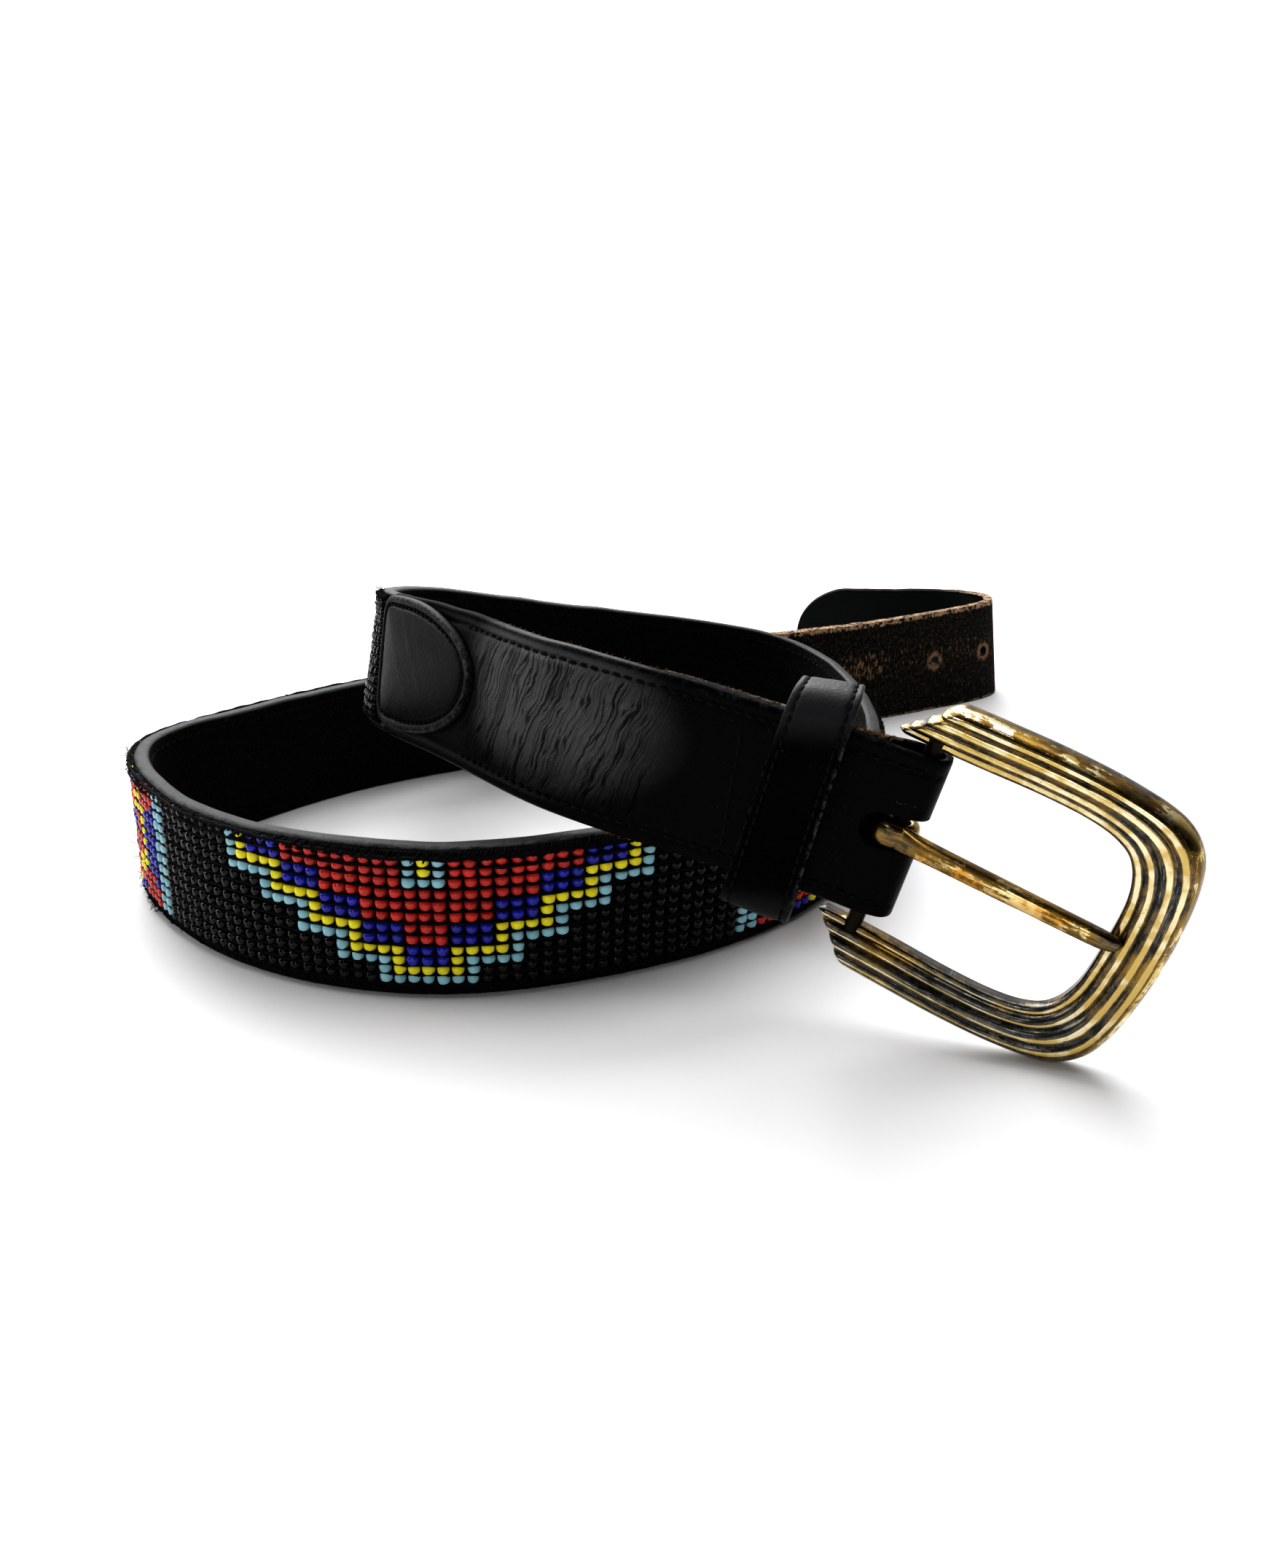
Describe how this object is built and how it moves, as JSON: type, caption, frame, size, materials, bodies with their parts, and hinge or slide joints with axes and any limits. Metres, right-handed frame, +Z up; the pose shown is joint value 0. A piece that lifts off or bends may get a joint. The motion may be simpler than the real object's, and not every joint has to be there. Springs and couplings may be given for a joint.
{
  "type": "beaded leather belt",
  "caption": "Unfastened black leather belt with a beaded outer panel, punched tail, keeper loop and ridged frame buckle with a prong, standing on its edge in loose turns.",
  "frame": {"origin": "under the middle of the belt's bounding box, on the surface that the belt stands on", "axes": "+Z up, -Y towards the viewer of the picture, +X to the viewer's right; the buckle is at +X -Y and the tail's curl at +X +Y"},
  "size_m": [0.267, 0.2994, 0.0738],
  "materials": {
    "strap_leather": "glossy black grain outside, matte dark brown flesh side, rubbed edges",
    "beads": "opaque glossy seed beads, black ground with stepped red, blue, yellow and light blue figures",
    "tab_leather": "padded, stitched, semi-gloss",
    "keeper_leather": "stitched, semi-gloss",
    "buckle_metal": "worn gold tone on the crests, grey-black tarnish in the grooves",
    "prong_metal": "worn gold tone with dark ends"
  },
  "bodies": {
    "belt": {"strap": "strap_leather", "bar_fold": "strap_leather", "bead_panel": "beads", "end_tab": "tab_leather", "keeper": "keeper_leather"},
    "buckle": {"buckle_frame": "buckle_metal"},
    "prong": {"prong": "prong_metal"}
  },
  "joints": [
    {"name": "buckle_turn", "type": "hinge", "parent": "belt", "child": "buckle", "pos_m": [0.0446, -0.12475, 0.04096], "axis": [-0.3122, 0.1657, -0.9355], "range_deg": [-35, 30]},
    {"name": "prong_turn", "type": "hinge", "parent": "buckle", "child": "prong", "pos_m": [0.0446, -0.12475, 0.04096], "axis": [-0.3122, 0.1657, -0.9355], "range_deg": [0, 70]}
  ]
}
